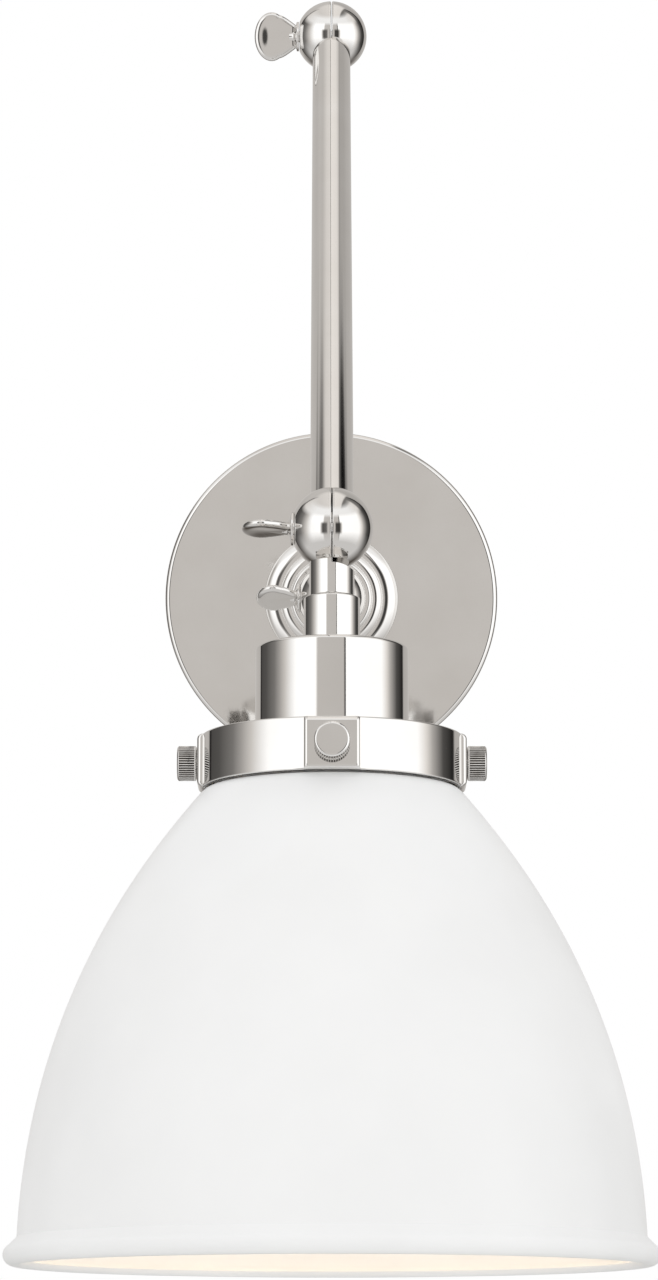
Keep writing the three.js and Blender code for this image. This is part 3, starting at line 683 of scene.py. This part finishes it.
radius, start, end = SLEEVE
bore = PIN_RADIUS + FIT
make_ring(
    "swivel_collar",
    [(bore, start), (radius, start, 0.6), (radius, end, 0.4), (bore, end)],
    "swivel_sleeve",
    "head_set",
)
radius, start, end = CUP
make_ring(
    "socket_housing",
    [
        (bore, start),
        (radius, start, 1.3),
        (radius, end, 0.3),
        (radius - CUP_WALL, end),
        (radius - CUP_WALL, start + CUP_WALL, 0.8),
        (bore, start + CUP_WALL),
    ],
    "socket_cup",
    "head_set",
    160,
)


def fillet_line(low, high, low_edge, high_edge, steps=6):
    """Places across a rounded pad, each with how far the face drops there."""
    line = []
    for i in range(steps + 1):
        angle = math.pi / 2 * i / steps
        line.append((low + low_edge * (1 - math.cos(angle)), low_edge * (1 - math.sin(angle))))
    for i in range(steps + 1):
        angle = math.pi / 2 * (1 - i / steps)
        line.append((high - high_edge * (1 - math.cos(angle)), high_edge * (1 - math.sin(angle))))
    return line


def pad():
    """A raised square pad with rounded edges, its face across x."""
    wide = fillet_line(-PAD_WIDTH / 2, PAD_WIDTH / 2, PAD_SIDE_EDGE, PAD_SIDE_EDGE)
    tall = fillet_line(FITTER_START, FITTER_END, PAD_END_EDGE, PAD_END_EDGE)
    vertices, faces = [], []
    for y, side_drop in wide:
        for z, end_drop in tall:
            vertices.append((max(PAD_FACE - side_drop - end_drop, PAD_BACK + 0.1), y, z))
    rows, columns = len(wide), len(tall)
    for i in range(rows - 1):
        for j in range(columns - 1):
            corner = i * columns + j
            faces.append((corner, corner + columns, corner + columns + 1, corner + 1))
    border = [i * columns for i in range(rows)]
    border += [(rows - 1) * columns + j for j in range(1, columns)]
    border += [i * columns + columns - 1 for i in range(rows - 2, -1, -1)]
    border += list(range(columns - 2, 0, -1))
    back = len(vertices)
    for index in border:
        vertices.append((PAD_BACK, vertices[index][1], vertices[index][2]))
    count = len(border)
    for i in range(count):
        j = (i + 1) % count
        faces.append((border[i], border[j], back + j, back + i))
    faces.append(tuple(range(back, back + count)))
    return vertices, faces


def make_fitter():
    inner = FITTER_RADIUS - FITTER_WALL
    corners = [
        (FITTER_HOLE, FITTER_START),
        (FITTER_RADIUS, FITTER_START, 0.6),
        (FITTER_RADIUS, FITTER_END, 0.5),
        (inner, FITTER_END, 0.3),
        (inner, FITTER_START + FITTER_TOP),
        (FITTER_HOLE, FITTER_START + FITTER_TOP),
    ]
    shells = [lathe(rounded(corners, True, 6), 192, True)]
    for index in range(4):
        shells.append(moved(pad(), Matrix.Rotation(index * math.pi / 2, 4, "Z")))
    piece = build("fitter_collar", shells, HEAD, NICKEL)
    stand_for(piece, "shade_fitter", "head_set")


make_fitter()


def make_thumb_screw(name, index):
    knob, length = THUMB_KNOB
    seat, end = THUMB_SEAT, THUMB_SEAT + length

    def teeth(angle, radius, z):
        if radius < knob - 1:
            return radius
        share = angle * KNURL_COUNT / (2 * math.pi) % 1
        valley = max(0.0, 1.3 * abs(2 * share - 1) - 0.3)
        ends = min(1.0, max(0.0, min(z - seat - 0.35, end - 0.55 - z) / 0.35))
        return radius - KNURL_DEPTH * ends * valley

    profile = [
        (0, THUMB_START),
        (THUMB_SHANK, THUMB_START),
        (THUMB_SHANK, seat),
        (knob - 0.6, seat),
        (knob - 0.1, seat + 0.3),
        (knob, seat + 0.4),
        (knob, seat + 0.75),
        (knob, seat + length / 2),
        (knob, end - 0.95),
        (knob, end - 0.6),
        (knob - 0.12, end - 0.4),
        (knob - 0.5, end - 0.1),
        (knob - 0.8, end),
        (knob - 1.1, end),
        (0, end),
    ]
    turned = Matrix.Rotation(index * math.pi / 2, 4, "Z") @ to_side(RIGHT)
    height = Matrix.Translation((0, 0, (FITTER_START + FITTER_END) / 2))
    shell = moved(lathe(profile, KNURL_COUNT * 6, shape=teeth), height @ turned)
    piece = build(f"thumb_knob_{name}", [shell], HEAD, NICKEL, 40)
    piece.data.materials.append(KNURL_PAINTED_SHADE)
    to_knob = (HEAD @ Matrix.Scale(MM, 4) @ height @ turned).inverted()
    # Faces down in the knurl's grooves take the second material, which paints shade into them.
    for polygon in piece.data.polygons:
        spot = to_knob @ polygon.center
        cut = knob - KNURL_DEPTH < math.hypot(spot.x, spot.y) < knob - 0.2 * KNURL_DEPTH
        polygon.material_index = int(cut and seat + 0.7 < spot.z < end - 0.6)
    stand_for(piece, f"thumb_screw_{name}", f"thumb_{name}")


for index, name in enumerate(("right", "front", "left", "rear")):
    make_thumb_screw(name, index)


def make_shade():
    lip = SHADE_NECK_RADIUS + SHADE_LIP
    shoulder = FITTER_RADIUS - FIT
    top = FITTER_END + FIT
    first = (shoulder + 0.5, top + 1.9)
    last = (SHADE_RADIUS, SHADE_END - 2.6 * BEAD_RADIUS)
    height = last[1] - first[1]
    pulls = (0.135 * height, 0.54 * height)
    curve = bezier(
        first,
        (first[0] + 0.84 * pulls[0], first[1] + pulls[0]),
        (last[0] - 0.04 * pulls[1], last[1] - pulls[1]),
        last,
        72,
    )
    outside = rounded(
        [
            (lip, SHADE_START),
            (lip, SHADE_START + SHADE_WALL, 0.4),
            (SHADE_NECK_RADIUS, SHADE_START + SHADE_WALL, 0.3),
            (SHADE_NECK_RADIUS, top - 0.2, 1.2),
            (shoulder - 1.2, top + 0.4, 0.8),
            first,
        ],
        False,
        5,
    )
    outside = outside[:-1] + curve
    inside = []
    last_of_lip = 12
    for i in range(len(outside) - 1, last_of_lip, -1):
        before = Vector(outside[i - 1])
        after = Vector(outside[min(i + 1, len(outside) - 1)])
        along = (after - before).normalized()
        inside.append((outside[i][0] - along.y * SHADE_WALL, outside[i][1] + along.x * SHADE_WALL))
    bead = arc(SHADE_RADIUS + 0.9, SHADE_END - BEAD_RADIUS, BEAD_RADIUS, -62, 155, 26)
    profile = outside + bead + [(SHADE_RADIUS - SHADE_WALL, SHADE_END - BEAD_RADIUS)] + inside
    profile.append((SHADE_NECK_RADIUS - SHADE_WALL, SHADE_START))
    piece = build("spun_shade", [lathe(profile, 224, True)], HEAD, WHITE, 40)
    stand_for(piece, "shade", "head_set")


make_shade()


def make_bulb():
    centre = BULB_TIP + BULB_LENGTH - BULB_RADIUS
    start = BULB_TIP + BULB_BASE_LENGTH + FIT
    join = math.radians(BULB_JOIN)
    meet = (BULB_RADIUS * math.cos(join), centre + BULB_RADIUS * math.sin(join))
    slope = (-math.sin(join), math.cos(join))
    neck = bezier(
        (BULB_BASE_RADIUS - 0.6, start),
        (BULB_BASE_RADIUS - 0.2, start + 13),
        (meet[0] - 11 * slope[0], meet[1] - 11 * slope[1]),
        meet,
        24,
    )
    crown = arc(0, centre, BULB_RADIUS, BULB_JOIN, 90, 40)[1:]
    crown[-1] = (0, centre + BULB_RADIUS)
    piece = build("bulb_envelope", [lathe([(0, start)] + neck + crown, 96)], HEAD, GLASS, 50)
    stand_for(piece, "bulb", "head_set")


def make_bulb_base():
    end = BULB_TIP + BULB_BASE_LENGTH
    profile = [(0, BULB_TIP), (4.2, BULB_TIP), (4.8, BULB_TIP + 0.8), (BULB_BASE_RADIUS - 2, BULB_TIP + 4)]
    turns = 6
    first, pitch = BULB_TIP + 5, 2.9
    for i in range(turns * 8 + 1):
        wave = 0.5 + 0.5 * math.cos(math.pi * i / 4)
        profile.append((BULB_BASE_RADIUS - 1.1 * wave, first + pitch * i / 8))
    profile += [(BULB_BASE_RADIUS - 0.4, end - 2.6), (BULB_BASE_RADIUS, end - 1.2)]
    profile += [(BULB_BASE_RADIUS, end), (0, end)]
    piece = build("bulb_cap", [lathe(profile, 96)], HEAD, ZINC)
    stand_for(piece, "bulb_base", "head_set")


make_bulb()
make_bulb_base()

# ---------------------------------------------------------------- carried-over nodes

CARRIED = {
    "mounting_strap": (ZINC, "zinc_plate"),
    "canopy_set_screw_left": (NICKEL, "polished_nickel"),
    "canopy_set_screw_right": (NICKEL, "polished_nickel"),
    "ground_screw": (GREEN, "green_screw"),
    "wire_nut_line": (ORANGE, "wire_nut_plastic"),
    "wire_nut_neutral": (ORANGE, "wire_nut_plastic"),
    "supply_lead_line": (BLACK, "black_insulation"),
    "supply_lead_neutral": (PALE, "white_insulation"),
    "hub_nut": (BRASS, "brass"),
    "hub_washer": (ZINC, "zinc_plate"),
    "rear_arm_lead": (BLACK, "black_insulation"),
    "front_arm_lead": (BLACK, "black_insulation"),
    "neck_nut": (BRASS, "brass"),
    "lamp_socket": (PORCELAIN, "porcelain"),
    "socket_ring": (PORCELAIN, "porcelain"),
    "screw_shell": (BRASS, "brass"),
    "centre_contact": (BRASS, "brass"),
}
for place_name in WING_TURNS:
    CARRIED[f"{place_name}_friction_disc"] = (FIBRE, "fibre")
    CARRIED[f"{place_name}_threaded_insert"] = (BRASS, "brass")
for node, (material, slot) in CARRIED.items():
    piece = frame["nodes"][node]
    piece.data.materials.clear()
    piece.data.materials.append(material)

# ---------------------------------------------------------------- floor, light, camera


def make_floor():
    height = cad_low.z - FLOOR_DROP
    disc = lathe([(FLOOR_RADIUS / MM, 0), (0, 0)], 96)
    floor = build("floor", [disc], Matrix.Translation((0, 0, height)), FLOOR)
    if floor.data.polygons[0].normal.z < 0:
        floor.data.flip_normals()
    floor.visible_glossy = False


def pale_floor():
    """A matt floor that is clear from underneath, so that the lamp shows from below."""
    material, tree, shader = finish_surface(
        "pale_floor", (0.80, 0.80, 0.79), (0.84, 0.84, 0.83), (0.6, 0.75), 0.0, 2, (60, 0.02, 0.001)
    )
    under = add(tree, "ShaderNodeNewGeometry").outputs["Backfacing"]
    clear = add(tree, "ShaderNodeBsdfTransparent").outputs[0]
    mixed = add(tree, "ShaderNodeMixShader", {0: under, 1: shader.outputs[0], 2: clear}).outputs[0]
    tree.links.new(mixed, tree.nodes["Material Output"].inputs["Surface"])
    return material


FLOOR = pale_floor()
make_floor()

# Brightness of the studio by the compass angle from the camera's side, + to the right.
SIDE_LEFT = (
    (-180, 0.60), (-138, 0.55), (-135.5, 0.01), (-133, 0.01), (-132, 0.08), (-118, 0.10), (-98, 0.22),
    (-88, 0.42), (-77, 0.72),
)
SIDE_RIGHT = (
    (82, 1.30), (92, 0.92), (100, 0.50), (108, 0.26), (115, 0.09), (131, 0.02), (134, 0.04), (137, 0.50),
    (180, 0.58),
)
LEVEL = (  # to about 30 degrees above the horizon
    *SIDE_LEFT,
    (-66, 1.10), (-58, 1.35), (-26, 1.40), (-22.5, 0.64), (19, 0.62), (20, 0.02), (21.5, 0.02),
    (22.5, 1.40),
    *SIDE_RIGHT,
)
NEAR_LEVEL = (  # within about 15 degrees of the horizon, which the canopy mirrors
    *SIDE_LEFT,
    (-60, 1.25), (-34, 1.35), (-29, 0.45), (-26, 0.10), (-15, 0.16), (-11, 0.66), (8, 0.66), (11, 0.07),
    (22, 0.05), (26, 0.60), (30, 1.35),
    *SIDE_RIGHT,
)
RAISED = (  # well above the horizon
    (-180, 0.64), (-134, 0.60), (-131, 0.16), (-129, 0.20), (-124, 0.80), (-60, 1.05), (0, 1.10),
    (60, 1.05), (105, 0.85), (112, 0.24), (126, 0.15), (128.5, 0.01), (132, 0.01), (134, 0.46), (180, 0.54),
)
OVERHEAD = (  # the ceiling, from left at -180 to right at 180
    (-180, 0.66), (-120, 0.70), (-12, 0.86), (-10.5, 0.10), (-8.5, 0.10), (-7, 0.98), (62, 0.90),
    (70, 0.22), (96, 0.18), (104, 0.60), (180, 0.60),
)
# Heights (the direction's z, 1 is straight up) between which one ring gives way to the next.
NEAR_TO_LEVEL = (0.20, 0.32)
LEVEL_TO_RAISED = (0.48, 0.62)
RAISED_TO_OVERHEAD = (0.78, 0.90)
LOW_TO_LEVEL = (-0.60, -0.15)
LOW_FRONT_TO_BACK = (0.15, 0.70)  # of the direction's y
PANEL_WARMTH = 0.08
BACKDROP = (1, 1, 1, 1)
LOW_FRONT = (0.70, 0.69, 0.68, 1)
LOW_BACK = (0.07, 0.058, 0.048, 1)
ROOM = (1.09, 1.095, 1.10, 1)  # the light that falls on matt surfaces


def compass_ramp(tree, compass, levels):
    ramp = add(tree, "ShaderNodeValToRGB", {"Fac": compass})
    stops = ramp.color_ramp.elements
    while len(stops) > 1:
        stops.remove(stops[-1])
    for index, (angle, level) in enumerate(levels):
        stop = stops[0] if index == 0 else stops.new(angle / 360 + 0.5)
        stop.position = angle / 360 + 0.5
        warm = PANEL_WARMTH if level < 1 else 0.0
        stop.color = (level, level * (1 - warm / 2), level * (1 - warm), 1)
    return ramp.outputs["Color"]


def mix(tree, share, one, two):
    return add(tree, "ShaderNodeMixRGB", {"Fac": share, "Color1": one, "Color2": two}).outputs[0]


def make_world():
    world = bpy.data.worlds.new("studio")
    bpy.context.scene.world = world
    world.use_nodes = True
    tree = world.node_tree
    direction = add(tree, "ShaderNodeTexCoord").outputs["Generated"]
    axes = add(tree, "ShaderNodeSeparateXYZ", {"Vector": direction}).outputs
    towards = add(tree, "ShaderNodeMath", {0: axes["Y"], 1: -1.0}, operation="MULTIPLY").outputs[0]
    angle = add(tree, "ShaderNodeMath", {0: axes["X"], 1: towards}, operation="ARCTAN2").outputs[0]
    compass = spread(tree, angle, 0, 1, -math.pi, math.pi)
    off_level = add(tree, "ShaderNodeMath", {0: axes["Z"]}, operation="ABSOLUTE").outputs[0]
    level, near_level, raised = (compass_ramp(tree, compass, ring) for ring in (LEVEL, NEAR_LEVEL, RAISED))
    near = mix(tree, spread(tree, off_level, 1, 0, *NEAR_TO_LEVEL), level, near_level)
    side = mix(tree, spread(tree, axes["Z"], 0, 1, *LEVEL_TO_RAISED), near, raised)
    overhead = compass_ramp(tree, spread(tree, axes["X"], 0, 1, -1, 1), OVERHEAD)
    upper = mix(tree, spread(tree, axes["Z"], 0, 1, *RAISED_TO_OVERHEAD), side, overhead)
    lower = mix(tree, spread(tree, axes["Y"], 0, 1, *LOW_FRONT_TO_BACK), LOW_FRONT, LOW_BACK)
    sky = mix(tree, spread(tree, axes["Z"], 1, 0, *LOW_TO_LEVEL), upper, lower)
    path = add(tree, "ShaderNodeLightPath").outputs
    on_matt = {0: path["Is Diffuse Ray"], 1: MATT_SHARE}
    matt = add(tree, "ShaderNodeMath", on_matt, operation="MULTIPLY").outputs[0]
    shown = mix(tree, path["Is Camera Ray"], mix(tree, matt, sky, ROOM), BACKDROP)
    tree.links.new(shown, tree.nodes["Background"].inputs["Color"])
    tree.nodes["Background"].inputs["Strength"].default_value = 1.0


make_world()

camera = bpy.data.objects.new("camera", bpy.data.cameras.new("camera"))
camera.data.lens = CAMERA_LENS
camera.data.sensor_width = CAMERA_SENSOR
camera.location = CAMERA_PLACE
camera.rotation_euler = (math.pi / 2, 0, 0)
camera.data.clip_start = CAMERA_NEAR
bpy.context.scene.collection.objects.link(camera)
bpy.context.scene.camera = camera
bpy.context.scene.view_settings.view_transform = "Standard"
